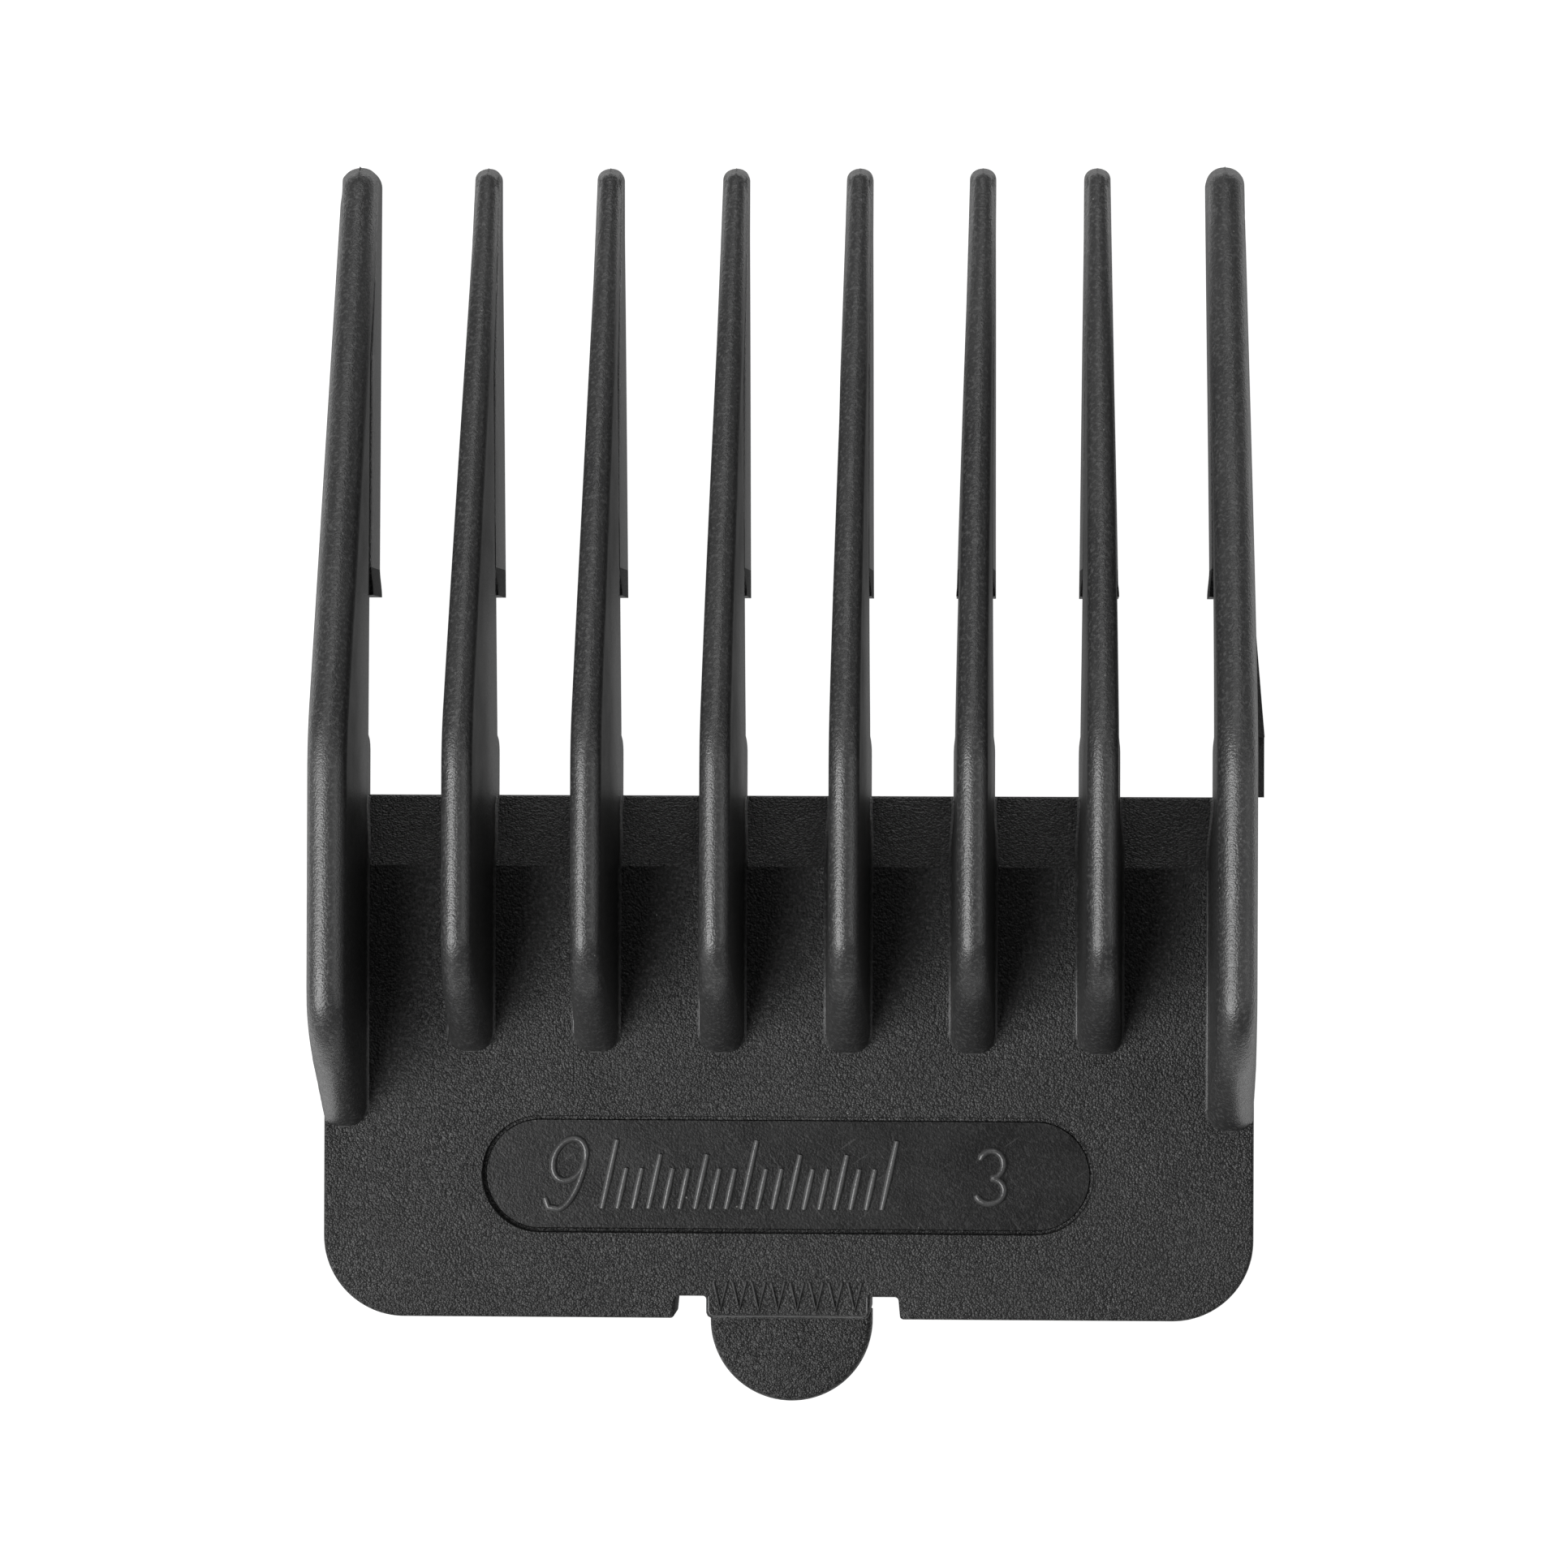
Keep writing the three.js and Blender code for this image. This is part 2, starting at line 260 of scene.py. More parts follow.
class RailShape:
    """One rail's side view and half width. All heights and lengths are in millimetres.

    Bead, neck and nose are half widths of the round top edge, of the groove under it and of the part
    below the ledge, and the tip has its own. The rail widens to root_half at its foot. The drafts
    are how much the fin widens per millimetre of depth, in front of the deck and over it.
    """

    # The side view: where the crown ends in front, the round corners, the tip's height as a
    # multiple of its bead, and the toe's steep end.
    PEAK_Y = 2.2
    PEAK_BLEND = 0.9
    HEEL_BLEND = 3.6
    TIP_ROUNDING = 0.55
    TIP_HEIGHT = 2.1
    TOE_LENGTH = 0.5
    TOE_HEIGHT = 0.45
    # The width: a groove under the bead that fades to the tip, then the fin. Both start at a depth
    # given as a share of the bead's radius. The rail widens to its root over the heel and beyond.
    GROOVE_AT = 1.15
    GROOVE_BLEND = 0.35
    GROOVE_FADE = 0.6
    FIN_AT = 1.5
    ROOTING_LENGTH = 1.5
    # The pad on the blade seat: its height, the blend above it, how far it stands out and its run.
    SEAT_PAD_HEIGHT = 1.2
    SEAT_PAD_BLEND = 0.3
    SEAT_PAD_OUT = 0.05
    SEAT_PAD_RUN = 0.7
    # The nose is wider below a ledge, with a crease above it and a flange at its rear end.
    LEDGE_Z = 4.15
    LEDGE_SHARE = 0.62
    LEDGE_BLEND = 0.1
    FLANGE_LENGTH = 1.5
    FLANGE = 0.12
    CREASE = 0.15
    CREASE_UP = 0.2
    # The fillet where the foot meets the deck, and the length over which it grows at the toe.
    FOOT_FILLET = 0.22
    FOOT_FILLET_RUN = 1.0
    # Where a section has its points: round the bead, then below it in shares of its radius, then
    # above the foot in millimetres, each with the largest share of the height left there. Bead and
    # groove together take up at most the upper share of a section's height.
    BEAD_ROWS = 9
    GROOVE_ROWS = (1.15, 1.28, 1.4, 1.55)
    FOOT_ROWS = ((1.5, 0.8), (1.15, 0.6), (0.28, 0.4), (0.2, 0.3), (0.13, 0.2), (0.08, 0.1))
    UPPER_SHARE = 0.62
    # The tip's own sections, which get closer together towards its end.
    TIP_SECTIONS = 14
    TIP_LENGTH = 1.0
    # A slope is measured this far to both sides, and none counts as steeper than the steepest.
    SLOPE_STEP = 0.02
    STEEPEST = 2.0

    def __init__(
        self, low, high, bead, tip_bead, neck, nose, tip_nose, root_half, heel_y, drafts, toe_reach
    ):
        self.tip_y = high[1]
        self.top = high[2]
        self.root_y = low[1] - toe_reach
        self.bead = bead
        self.tip_bead = tip_bead
        self.neck = neck
        self.nose = nose
        self.tip_nose = tip_nose
        self.root_half = root_half
        self.heel_y = heel_y
        self.front_draft, self.deck_draft = drafts
        self.tip_height = self.TIP_HEIGHT * tip_bead

    def top_z(self, y):
        """Height of the rail's top line: nose slope, flat crown, steep heel, all with round corners."""
        rise = (self.top - self.tip_height) / (self.tip_y - self.PEAK_Y)
        nose_slope = self.tip_height + rise * (self.tip_y - y)
        steepness = (self.top - DECK_TOP - self.TOE_HEIGHT) / (self.heel_y - self.root_y)
        behind = max(y - self.root_y, 0.0)
        toe_share = 1 - min(behind / self.TOE_LENGTH, 1.0)
        heel = DECK_TOP + behind * steepness + self.TOE_HEIGHT * math.sqrt(1 - toe_share**2)
        crown = soft_min(nose_slope, self.top, self.PEAK_BLEND)
        height = soft_min(crown, heel, min(self.HEEL_BLEND, behind))
        reach = self.TIP_ROUNDING - (self.tip_y - y)
        if reach > 0:
            height -= self.TIP_ROUNDING - root_above_zero(self.TIP_ROUNDING**2 - reach**2)
        return height

    def stretch(self, y):
        """How much longer the sloping top line is than its length along the rail."""
        rise = self.top_z(y + self.SLOPE_STEP) - self.top_z(y - self.SLOPE_STEP)
        slope = rise / (2 * self.SLOPE_STEP)
        return math.sqrt(1 + min(slope * slope, self.STEEPEST**2))

    def bottom_z(self, y):
        """Height of the rail's lower edge: nose, hook step, blade seat, then just inside the deck."""
        if y >= HOOK_Y:
            return 0.0
        if y >= STEP_Y:
            return HOOK_Z
        if y >= LIP_FRONT:
            return SEAT_Z
        if y >= DECK_FRONT:
            share = (LIP_FRONT - y) / (LIP_FRONT - DECK_FRONT)
            return lerp(LIP_TOP, DECK_TOP, share) - BURIED
        return DECK_TOP - BURIED

    def half_width(self, y, z):
        """Half the rail's width: a round bead, a groove under it, a drafted fin and a ledge at the nose."""
        cosine = 1 / self.stretch(y)
        depth = max(self.top_z(y) - z, 0.0)
        normal_depth = depth * cosine
        along = clamp((y - self.PEAK_Y) / (self.tip_y - self.PEAK_Y))
        rooting = 1 - smooth_step(self.root_y, self.heel_y + self.ROOTING_LENGTH, y)
        radius = lerp(self.bead, self.tip_bead, along)
        radius = lerp(radius, self.root_half, rooting)
        top_share = max(radius - normal_depth, 0.0) / radius
        tip_share = max(radius - (self.tip_y - y), 0.0) / radius
        roundness = root_above_zero(1 - top_share**2 - tip_share**2)
        width = radius * roundness
        groove = (radius - self.neck) * (1 - rooting) * (1 - along * self.GROOVE_FADE)
        groove_top = radius * self.GROOVE_AT
        below_bead = smooth_step(groove_top, groove_top + self.GROOVE_BLEND, normal_depth)
        width -= groove * below_bead * (1 - tip_share)
        forward = smooth_step(DECK_FRONT, LIP_FRONT, y)
        draft = lerp(self.deck_draft, self.front_draft, forward)
        if y < LIP_FRONT:
            depth = min(depth, self.top - lerp(DECK_TOP, SEAT_Z, forward))
        fin_depth = max(depth - radius * self.FIN_AT / cosine, 0.0)
        width += draft * fin_depth * (1 - rooting)
        if y < DECK_FRONT:
            flank = self.neck + draft * max(self.top - self.bead * self.FIN_AT - z, 0.0)
            width = max(width, flank * roundness)
        if y >= HOOK_Y - 0.01:
            ledge = 1 - smooth_step(self.ledge_z(y) - self.LEDGE_BLEND, self.ledge_z(y), z)
            wide = lerp(self.nose, self.tip_nose, along)
            wide += self.FLANGE * (1 - smooth_step(0, self.FLANGE_LENGTH, y - HOOK_Y))
            wide *= root_above_zero(1 - tip_share**2)
            groove_share = 1 - min(abs(z - self.ledge_z(y) - self.CREASE_UP) / self.CREASE_UP, 1.0)
            width -= self.CREASE * groove_share * (1 - tip_share)
            width = max(width, lerp(width, wide, ledge))
        elif y < STEP_Y:
            pad_top = SEAT_Z + self.SEAT_PAD_HEIGHT
            pad = 1 - smooth_step(pad_top, pad_top + self.SEAT_PAD_BLEND, z)
            width += self.SEAT_PAD_OUT * pad * smooth_step(0, self.SEAT_PAD_RUN, STEP_Y - y)
        if y < LIP_FRONT:
            above = max(z - (self.bottom_z(y) + BURIED), 0.0)
            fillet = self.FOOT_FILLET
            if above < fillet:
                flare = fillet - root_above_zero(fillet**2 - (fillet - above) ** 2)
                width += flare * smooth_step(self.root_y, self.root_y + self.FOOT_FILLET_RUN, y)
        return width

    def ledge_z(self, y):
        """The nose is a little wider below this height."""
        return min(self.LEDGE_Z, self.LEDGE_SHARE * self.top_z(y))

    def stations(self):
        """Where along the rail it is cut into sections, closer together where it curves or steps."""
        # Each stretch: from, to and the number of sections.
        stretches = [
            (self.tip_y - self.TIP_LENGTH - 0.05, HOOK_Y + 1.6, 42),
            (HOOK_Y + 1.6, HOOK_Y, 8),
            (HOOK_Y - 0.04, STEP_Y + 0.04, 12),
            (STEP_Y, LIP_FRONT, 12),
            (LIP_FRONT - 0.02, DECK_FRONT, 8),
            (DECK_FRONT, self.heel_y + self.ROOTING_LENGTH, 8),
            (self.heel_y + self.ROOTING_LENGTH, self.root_y + 0.4, 34),
            (self.root_y + 0.4, self.root_y + 0.12, 7),
            (self.root_y + 0.1, self.root_y + 0.02, 4),
        ]
        turns = [math.pi / 2 * k / self.TIP_SECTIONS for k in range(self.TIP_SECTIONS + 1)]
        found = [self.tip_y - self.TIP_LENGTH * (1 - math.cos(turn)) for turn in turns]
        for start, end, count in stretches:
            found += [lerp(start, end, k / count) for k in range(count + 1)]
        found.sort(reverse=True)
        return [y for k, y in enumerate(found) if k == 0 or found[k - 1] - y > 1e-4]

    def rows(self, y):
        """Heights of one section's points, from its top line down to its lower edge."""
        top, bottom = self.top_z(y), self.bottom_z(y)
        height = top - bottom
        stretch = self.stretch(y)
        radius = self.bead
        turns = [math.pi / 2 * k / self.BEAD_ROWS for k in range(self.BEAD_ROWS + 1)]
        bead_depths = [radius * (1 - math.cos(turn)) for turn in turns]
        bead_depths += [radius * share for share in self.GROOVE_ROWS]
        limit = height * self.UPPER_SHARE
        scale = min(1.0, limit / (bead_depths[-1] * stretch))
        zs = [top - d * stretch * scale for d in bead_depths]
        start = zs[-1]
        if y >= HOOK_Y:
            ledge = min(self.ledge_z(y), start - 0.02 * height)
            rise = min(self.CREASE_UP, 0.4 * (start - ledge))
            zs += [lerp(start, ledge + 2 * rise, f) for f in (0.5, 1.0)]
            zs += [ledge + rise, ledge]
            below = max(ledge - self.LEDGE_BLEND, ledge * 0.9)
            zs += [lerp(below, 0.0, f) for f in (0.0, 0.4, 0.75, 0.95, 1.0)]
        else:
            lower = [min(above, (start - bottom) * share) for above, share in self.FOOT_ROWS]
            zs += [lerp(start, bottom + lower[0], f) for f in (0.35, 0.7)]
            zs += [bottom + h for h in lower]
            zs += [bottom]
        return zs


def rail_centre(node):
    """Where a rail stands across the comb, in millimetres."""
    low, high = box_mm(node)
    offset = RAIL_OFFSET.get(node.split("_")[-1], RAIL_OFFSET["inner"])
    return (low[0] + high[0]) / 2 * RAIL_SPREAD + offset


def build_rail(node, shape):
    """A rail as one skin: its two sides share the top line, and a strip closes the bottom.

    Over the last millimetre the round tip has no width at its very top, and there the two sides
    fold into one thin sheet.
    """
    centre = rail_centre(node)
    stations = shape.stations()
    points, faces = [], []
    rows = len(shape.rows(stations[0]))
    edge = HALF_WIDTH - BURIED
    for y in stations:
        forward = smooth_step(shape.PEAK_Y, shape.tip_y + LEAN_PAST_TIP, y)
        shift = centre + TIP_LEAN[node] * forward * LEAN_GAIN
        heights = shape.rows(y)
        widths = [shape.half_width(y, z) for z in heights]
        widths[0] = 0.0
        points += [(max(shift - w, -edge), y, z) for w, z in zip(widths, heights)]
        points += [(min(shift + w, edge), y, z) for w, z in zip(widths, heights)]
    ring = 2 * rows
    for s in range(len(stations) - 1):
        a, b = s * ring, (s + 1) * ring
        for r in range(rows - 1):
            faces.append((a + r, a + r + 1, b + r + 1, b + r))
            faces.append((a + rows + r, b + rows + r, b + rows + r + 1, a + rows + r + 1))
        faces.append((a + rows - 1, a + ring - 1, b + ring - 1, b + rows - 1))
    for s in (0, len(stations) - 1):
        a = s * ring
        left = [a + r for r in range(rows)]
        right = [a + rows + r for r in range(rows)]
        for r in range(rows - 1):
            faces.append((left[r], left[r + 1], right[r + 1], right[r]))
    return smooth_shaded(mesh_object(f"{node}_skin", points, faces), 35)


inner_shape = RailShape(
    RAIL_LOW, RAIL_HIGH, bead=0.75, tip_bead=0.60, neck=0.64, nose=0.91, tip_nose=0.66,
    root_half=1.08, heel_y=-9.3, drafts=(0.031, 0.058), toe_reach=0.35,
)
outer_shape = RailShape(
    OUTER_LOW, OUTER_HIGH, bead=0.98, tip_bead=0.97, neck=0.79, nose=0.86, tip_nose=0.97,
    root_half=1.14, heel_y=-12.4, drafts=(0.0, 0.045), toe_reach=0.6,
)


def rail_shape(node):
    """The shape of a rail: all narrow rails share one, and both wide rails share the other."""
    return inner_shape if node in INNER_RAILS else outer_shape


# ---------------------------------------------------------------- moulded shell

# Steps round a rear corner of the deck and round an end of the panel.
CORNER_STEPS = 28
END_STEPS = 44
WALL = HALF_WIDTH - SKIRT_LOW[0]
CORNER_Y = DECK_REAR + CORNER_RADIUS
PANEL_Y = -19.5
PANEL_HALF_LENGTH = 15.1
PANEL_HALF_HEIGHT = 2.85
PANEL_FLOOR = DECK_TOP - 0.3
NOTCH_FLARE = 0.1
EDGE_ROUNDING = 0.16
CAD_EDGE_ROUNDING = 0.12
# How far a cutting tool runs past what it cuts.
CLEAR = 1


def u_outline(half_x, rear_y, front_y, radius):
    """Plan outline of the shell: straight at the front, round corners at the rear."""
    corner_x, corner_y = half_x - radius, rear_y + radius
    points = arc((-corner_x, corner_y), radius, 180, 270, CORNER_STEPS)
    points += arc((corner_x, corner_y), radius, 270, 360, CORNER_STEPS)
    return points + [(half_x, front_y), (-half_x, front_y)]


def stadium(offset):
    """Plan outline of the label panel, grown by an offset."""
    radius = PANEL_HALF_HEIGHT + offset
    end_x = PANEL_HALF_LENGTH - PANEL_HALF_HEIGHT
    points = arc((end_x, PANEL_Y), radius, -90, 90, END_STEPS)
    return points + arc((-end_x, PANEL_Y), radius, 90, 270, END_STEPS)


def at_height(outline, z):
    """A plan outline lifted to a height."""
    return [(x, y, z) for x, y in outline]


def wedge_over(name, rear, front, clear):
    """A block above a sloping face that runs from the rear (y, z) point to the front one."""
    slope = (front[1] - rear[1]) / (front[0] - rear[0])
    past = front[0] + 2 * CLEAR
    side = [rear, (past, rear[1] + (past - rear[0]) * slope), (past, clear), (rear[0], clear)]
    return prism(name, side, "x", -HALF_WIDTH - 2 * CLEAR, HALF_WIDTH + 2 * CLEAR)


def build_shell():
    """Deck, lip, skirts and rear walls as one moulding, with the two notches and the label panel."""
    outer = u_outline(HALF_WIDTH, DECK_REAR, LIP_FRONT, CORNER_RADIUS)
    shell = prism("moulded_shell", outer, "z", 0, DECK_TOP)
    over = 3 * CLEAR
    cut(shell, wedge_over("lip_cut", (DECK_FRONT, DECK_TOP), (LIP_FRONT, LIP_TOP), DECK_TOP + over))
    inner = u_outline(HALF_WIDTH - WALL, REAR_INNER, LIP_FRONT + CLEAR, CORNER_RADIUS - WALL)
    cavity = prism("cavity", inner, "z", -CLEAR, DECK_UNDER)
    rear, front = (DECK_FRONT, DECK_UNDER), (LIP_FRONT, SEAT_Z)
    cut(cavity, wedge_over("lip_underside", rear, front, DECK_UNDER + over))
    cut(shell, cavity)
    behind = DECK_REAR - CLEAR
    beside = HALF_WIDTH + CLEAR
    cut(shell, block("rear_cut", (-beside, behind, -CLEAR), (beside, CORNER_Y, SEAT_Z)))
    room_front = (NOTCH_OUTER, REAR_INNER + 0.01, DECK_UNDER)
    cut(shell, block("latch_room", (-NOTCH_OUTER, behind, -CLEAR), room_front))
    # Each notch, from the tab's side with its round corner to the flared outer side.
    flared = NOTCH_OUTER + NOTCH_FLARE
    for side, tab in ((-1, LATCH_HALF - 0.1), (1, LATCH_HALF)):
        outline = [
            (tab, REAR_INNER),
            (tab, DECK_REAR + 0.28),
            (tab - 0.08, DECK_REAR + 0.1),
            (tab - 0.3, DECK_REAR - 0.02),
            (tab - 0.3, behind),
            (flared, behind),
            (flared, DECK_REAR),
            (NOTCH_OUTER, REAR_INNER),
        ]
        notch = [(side * x, y) for x, y in outline]
        cut(shell, prism("notch", notch, "z", DECK_UNDER - 4 * CLEAR, DECK_TOP + CLEAR))
    dissolve_flat(shell)
    bevel_edges(shell, EDGE_ROUNDING, 3, 50)
    bake_modifiers(shell)
    # The panel's wall, as growth of its outline at each height: a soft rim, then a step to the floor.
    steps = [
        (0.06, DECK_TOP + CLEAR),
        (0.06, DECK_TOP + 0.01),
        (0.02, DECK_TOP - 0.05),
        (0.0, PANEL_FLOOR - 0.1),
        (-0.13, PANEL_FLOOR - 0.1),
        (-0.19, PANEL_FLOOR),
    ]
    cut(shell, loft("panel", [at_height(stadium(offset), z) for offset, z in steps]))
    smooth_shaded(shell, 33)
    weight_normals(shell)
    return shell


# ---------------------------------------------------------------- raised marks

MARK_HALF_WIDTH = 0.18
MARK_HEIGHT = 0.22
MARK_SLANT = 0.22
STROKE_END = 0.75
# One stroke's cross section, as shares of its half width and its height.
STROKE_SECTION = [
    (-1, -0.4), (-1, 0.1), (-0.55, 0.85), (0, 1), (0.55, 0.85), (1, 0.1), (1, -0.4),
]
TICKS = 19
TICK_PITCH = 0.77
FIRST_TICK_X = -9.2
CHEVRONS = 8
CHEVRON_PITCH = 0.95
FIRST_CHEVRON_X = -3.3


def ridge(path, base_z, points, faces, half_width=MARK_HALF_WIDTH, height=MARK_HEIGHT):
    """Adds one raised stroke along a plan path to a mesh's points and faces."""
    first = len(points)
    ends = len(path) - 1
    for k, (x, y) in enumerate(path):
        before, after = path[max(k - 1, 0)], path[min(k + 1, ends)]
        along = Vector((after[0] - before[0], after[1] - before[1])).normalized()
        across = Vector((along.y, -along.x))
        taper = STROKE_END if k in (0, ends) else 1.0
        for u, v in STROKE_SECTION:
            offset = across * (u * half_width * taper)
            points.append((x + offset.x, y + offset.y, base_z + v * height * taper))
    size = len(STROKE_SECTION)
    for k in range(ends):
        a, b = first + k * size, first + (k + 1) * size
        for j in range(size):
            n = (j + 1) % size
            faces.append((a + j, a + n, b + n, b + j))
    faces.append(tuple(range(first, first + size)))
    faces.append(tuple(reversed(range(first + ends * size, first + (ends + 1) * size))))


def ellipse(cx, cy, rx, ry, from_deg, to_deg, steps):
    """Points along part of an ellipse, both ends included."""
    angles = [math.radians(lerp(from_deg, to_deg, k / steps)) for k in range(steps + 1)]
    return [(cx + rx * math.cos(a), cy + ry * math.sin(a)) for a in angles]


# Strokes of the two numerals, in a box one wide and one high.
NINE = [
    ellipse(0.5, 0.70, 0.42, 0.30, 0, 360, 26),
    ellipse(0.46, 0.62, 0.46, 0.62, 8, -88, 14) + [(0.22, 0.03), (0.08, 0.16)],
]
THREE = [
    ellipse(0.42, 0.74, 0.38, 0.26, 160, -85, 16) + ellipse(0.42, 0.24, 0.44, 0.24, 88, -160, 18),
]


def numeral(strokes, x, y, width, height, slant):
    """A numeral's strokes, placed by its lower left corner, in millimetres."""
    placed = []
    for path in strokes:
        placed.append([(x + (u * width) + v * height * slant, y + v * height) for u, v in path])
    return placed


def build_marks():
    """Length marks in the panel: a nine, a slanted scale, and a small three."""
    strokes = numeral(NINE, -12.3, PANEL_Y - 1.75, 1.9, 3.5, MARK_SLANT)
    foot_y = PANEL_Y - 1.7
    for tick in range(TICKS):
        height = 3.4 if tick % 9 == 0 else 2.7 if tick % 3 == 0 else 2.0
        x = FIRST_TICK_X + TICK_PITCH * tick
        strokes.append([(x + s * height * MARK_SLANT, foot_y + s * height) for s in (0, 0.5, 1)])
    strokes += numeral(THREE, 9.3, PANEL_Y - 1.35, 1.6, 2.6, 0.05)
    points, faces = [], []
    for path in strokes:
        ridge(path, PANEL_FLOOR, points, faces)
    return smooth_shaded(mesh_object("length_marks", points, faces), 60)


def build_arrows():
    """Push marks on the tab: a row of small chevrons that point to the thumb pad, and the tab's rim."""
    points, faces = [], []
    half_chevron, chevron_front, chevron_point = 0.33, DECK_REAR + 1.8, DECK_REAR + 0.45
    for k in range(CHEVRONS):
        x = FIRST_CHEVRON_X + k * CHEVRON_PITCH
        chevron = [(x - half_chevron, chevron_front), (x, chevron_point)]
        chevron.append((x + half_chevron, chevron_front))
        ridge(chevron, DECK_TOP, points, faces, 0.1, 0.16)
    left, right = -LATCH_HALF + 0.24, LATCH_HALF - 0.14
    rear, front = DECK_REAR + 0.14, DECK_REAR + 1.1
    rim = [(left, front), (left, rear + 0.25), (left + 0.08, rear + 0.07)]
    rim += [(left + 0.26, rear), (right - 0.26, rear), (right - 0.08, rear + 0.07)]
    rim += [(right, rear + 0.25), (right, front)]
    ridge(rim, DECK_TOP, points, faces, 0.055, 0.05)
    return smooth_shaded(mesh_object("release_marks", points, faces), 60)


def build_foot_lines():
    """The fine weld line where each rail's foot meets the deck, round its toe."""
    points, faces = [], []
    for node in INNER_RAILS + OUTER_RAILS:
        shape = rail_shape(node)
        centre = rail_centre(node)
        foot = shape.root_half + 0.04
        toe_y = shape.root_y + foot
        path = [(centre - foot, DECK_FRONT - 0.1)]
        path += arc((centre, toe_y), foot, 180, 360, 20)
        path += [(centre + foot, DECK_FRONT - 0.1)]
        path = [(x, y) for x, y in path if abs(x) < HALF_WIDTH - 0.1]
        ridge(path, DECK_TOP, points, faces, 0.055, 0.075)
    return smooth_shaded(mesh_object("foot_lines", points, faces), 60)


# ---------------------------------------------------------------- latch

WALL_Y = (DECK_REAR + REAR_INNER) / 2


def rounded_rectangle(half_x, low_y, high_y, radius, steps):
    """Plan outline with four round corners."""
    corners = [
        ((half_x - radius, high_y - radius), 0),
        ((-half_x + radius, high_y - radius), 90),
        ((-half_x + radius, low_y + radius), 180),
        ((half_x - radius, low_y + radius), 270),
    ]
    points = []
    for centre, start in corners:
        points += arc(centre, radius, start, start + 90, steps)
    return points


def build_latch_wall():
    """The spring wall, which thins to the living hinge and runs into the underside of the deck."""
    rounding = 0.15
    corner = 0.16
    side_play = 0.04
    web_inset = 0.12
    low_z, high_z = LATCH_LOW[2], DECK_UNDER + rounding
    half_wall = (REAR_INNER - DECK_REAR) / 2
    half_web = 0.26
    hinge_z = 0.5 * (LATCH_HIGH[2] + DECK_UNDER)
    heights = [low_z, low_z + 0.02, low_z + 0.07, low_z + rounding]
    heights += [lerp(low_z + 0.4, 4.9, k / 8) for k in range(9)]
    heights += [lerp(5.0, high_z, k / 26) for k in range(27)]
    loops = []
    for z in heights:
        edge = max(rounding - (z - low_z), 0.0)
        inset = rounding - root_above_zero(rounding**2 - edge**2)
        thin = 1 - smooth_step(0.18, 0.62, abs(z - hinge_z))
        half_y = lerp(half_wall, half_web, thin) - inset
        half_x = LATCH_HALF - side_play - inset - web_inset * thin
        radius = min(corner, half_y * 0.6)
        outline = rounded_rectangle(half_x, WALL_Y - half_y, WALL_Y + half_y, radius, 5)
        loops.append(at_height(outline, z))
    return smooth_shaded(loft("latch_spring", loops), 40)


def build_pad():
    """The thumb pad: a half disc with round rims that grows out of the latch wall."""
    radius = PAD_HIGH[0]
    centre_x = 0.1
    centre_y = PAD_LOW[1] + radius
    rim = 0.3
    rim_steps = 4
    front_y = DECK_REAR + 0.2
    loops = []
    levels = [(PAD_LOW[2] + rim, -rim, k) for k in range(rim_steps + 1)]
    levels += [(PAD_HIGH[2] - rim, rim, k) for k in reversed(range(rim_steps + 1))]
    for level, reach, k in levels:
        turn = math.pi / 2 * k / rim_steps
        inset = rim * (1 - math.sin(turn))
        z = level + reach * math.cos(turn)
        outline = arc((centre_x, centre_y), radius - inset, 180, 360, 60)
        outline.append((centre_x + radius - inset, front_y))
        outline.append((centre_x - radius + inset, front_y))
        loops.append(at_height(outline, z))
    return smooth_shaded(loft("pad_skin", loops), 40)


# ---------------------------------------------------------------- materials

# Sizes of the surface's features in millimetres: slow shade clouds, pale flecks, glossier patches,
# sink waves, the spacing of dust specks, and the width and length of scratches.
CLOUD_MM = 7.0
FLECK_MM = 0.17
PATCH_MM = 2.2
WAVE_MM = 5.0
DUST_MM = 0.5
DUST_SHARE = 0.05
DUST_COLOUR = (0.16, 0.16, 0.155, 1)
SCRATCH_MM = 0.12
SCRATCH_STRETCH = 14
SCRATCH_TURNS = (0.6, -0.9)
SCRATCH_COLOUR = (0.07, 0.07, 0.07, 1)
PIT_SIZE = 1.4
PIT_DEPTH = 0.7


def grey(value):
    """A grey colour, opaque."""
    return (value, value, value, 1)


def fill_ramp(ramp, stops):
    """Sets a colour ramp to grey stops, each a place and a value. A new ramp has two of its own."""
    for element, (place, value) in zip(ramp.elements, stops):
        element.position = place
        element.color = grey(value)
    for place, value in stops[2:]:
        ramp.elements.new(place).color = grey(value)


